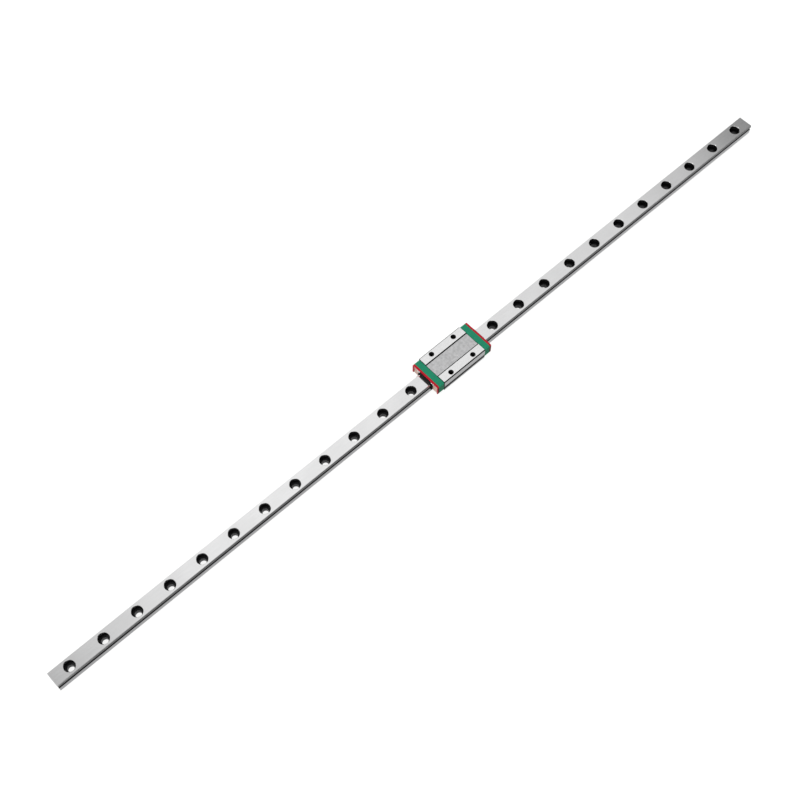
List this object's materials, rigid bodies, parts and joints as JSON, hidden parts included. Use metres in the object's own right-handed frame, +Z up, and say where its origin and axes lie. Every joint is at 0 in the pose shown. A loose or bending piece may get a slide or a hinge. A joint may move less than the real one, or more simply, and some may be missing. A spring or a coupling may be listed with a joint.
{
  "type": "linear guide carriage",
  "caption": "Miniature profile rail guide: a steel rail with a row of counterbored holes, and a long ball carriage with green end caps and red end seals.",
  "frame": {"origin": "middle of the rail's mounting face, which is the bottom centre of the whole part", "axes": "+X along the rail towards the end the carriage is nearer to, +Y across the rail to the left, +Z up out of the mounting face"},
  "size_m": [0.5, 0.02, 0.01],
  "materials": {
    "rail_steel": "satin",
    "block_steel": "satin",
    "ball_steel": "polished",
    "wire_steel": "satin",
    "screw_steel": "polished",
    "green_plastic": "satin",
    "guide_plastic": "matte",
    "red_plastic": "gloss",
    "black_rubber": "matte"
  },
  "bodies": {
    "rail": {"rail": "rail_steel"},
    "carriage": {"carriage_block": "block_steel", "end_cap_front": "green_plastic", "seal_plate_front": "red_plastic", "wiper_front": "black_rubber", "cap_screw_front_left": "screw_steel", "return_guide_front_left": "guide_plastic", "cap_screw_front_right": "screw_steel", "return_guide_front_right": "guide_plastic", "end_cap_rear": "green_plastic", "seal_plate_rear": "red_plastic", "wiper_rear": "black_rubber", "cap_screw_rear_left": "screw_steel", "return_guide_rear_left": "guide_plastic", "cap_screw_rear_right": "screw_steel", "return_guide_rear_right": "guide_plastic", "ball_train_left": "ball_steel", "retainer_wire_left": "wire_steel", "ball_train_right": "ball_steel", "retainer_wire_right": "wire_steel"}
  },
  "joints": [
    {"name": "carriage_slide", "type": "slide", "parent": "rail", "child": "carriage", "axis": [1, 0, 0], "range_m": [-0.2398, 0.2203]}
  ]
}
